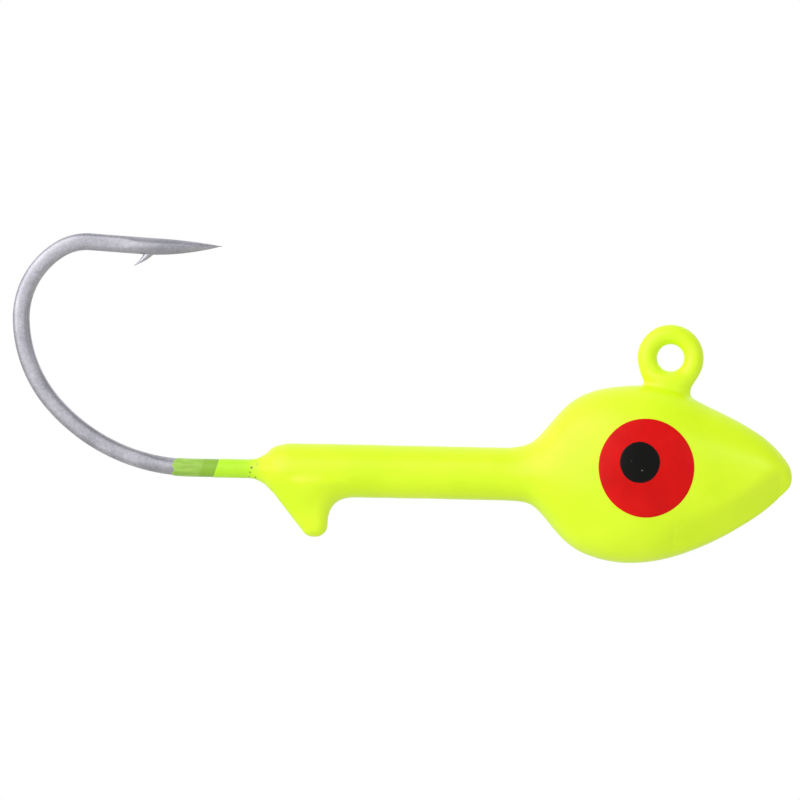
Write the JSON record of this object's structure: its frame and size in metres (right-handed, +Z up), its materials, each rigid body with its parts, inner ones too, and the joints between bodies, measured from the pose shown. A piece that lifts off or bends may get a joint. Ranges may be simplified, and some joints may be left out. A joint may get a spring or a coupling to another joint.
{
  "type": "lead jig head",
  "caption": "Painted lead jig head with painted eyes, a plain round bait collar with a keeper spur, and a long-shank jig hook with a ring line eye.",
  "frame": {"origin": "centre of the line eye, on the middle plane of the hook", "axes": "+X along the shank towards the nose, +Y out of the left side of the head along the line eye's hole, +Z up from the shank towards the line eye and the hook point"},
  "size_m": [0.0548, 0.0072, 0.0223],
  "materials": {
    "hook_steel": "drawn, forged and tin-plated hook wire, grey with a fine lengthwise grain",
    "cast_lead": "dull as-cast lead, wholly under paint",
    "base_paint": "thin translucent green base film",
    "top_paint": "glossy fluorescent chartreuse dip paint",
    "iris_paint": "satin red pad-printed eye paint",
    "pupil_paint": "satin black eye paint"
  },
  "bodies": {
    "root": {"hook": "hook_steel", "lead_casting": "cast_lead", "base_coat": "base_paint", "top_coat": "top_paint", "iris_left": "iris_paint", "iris_right": "iris_paint", "pupil_left": "pupil_paint", "pupil_right": "pupil_paint"}
  },
  "joints": []
}
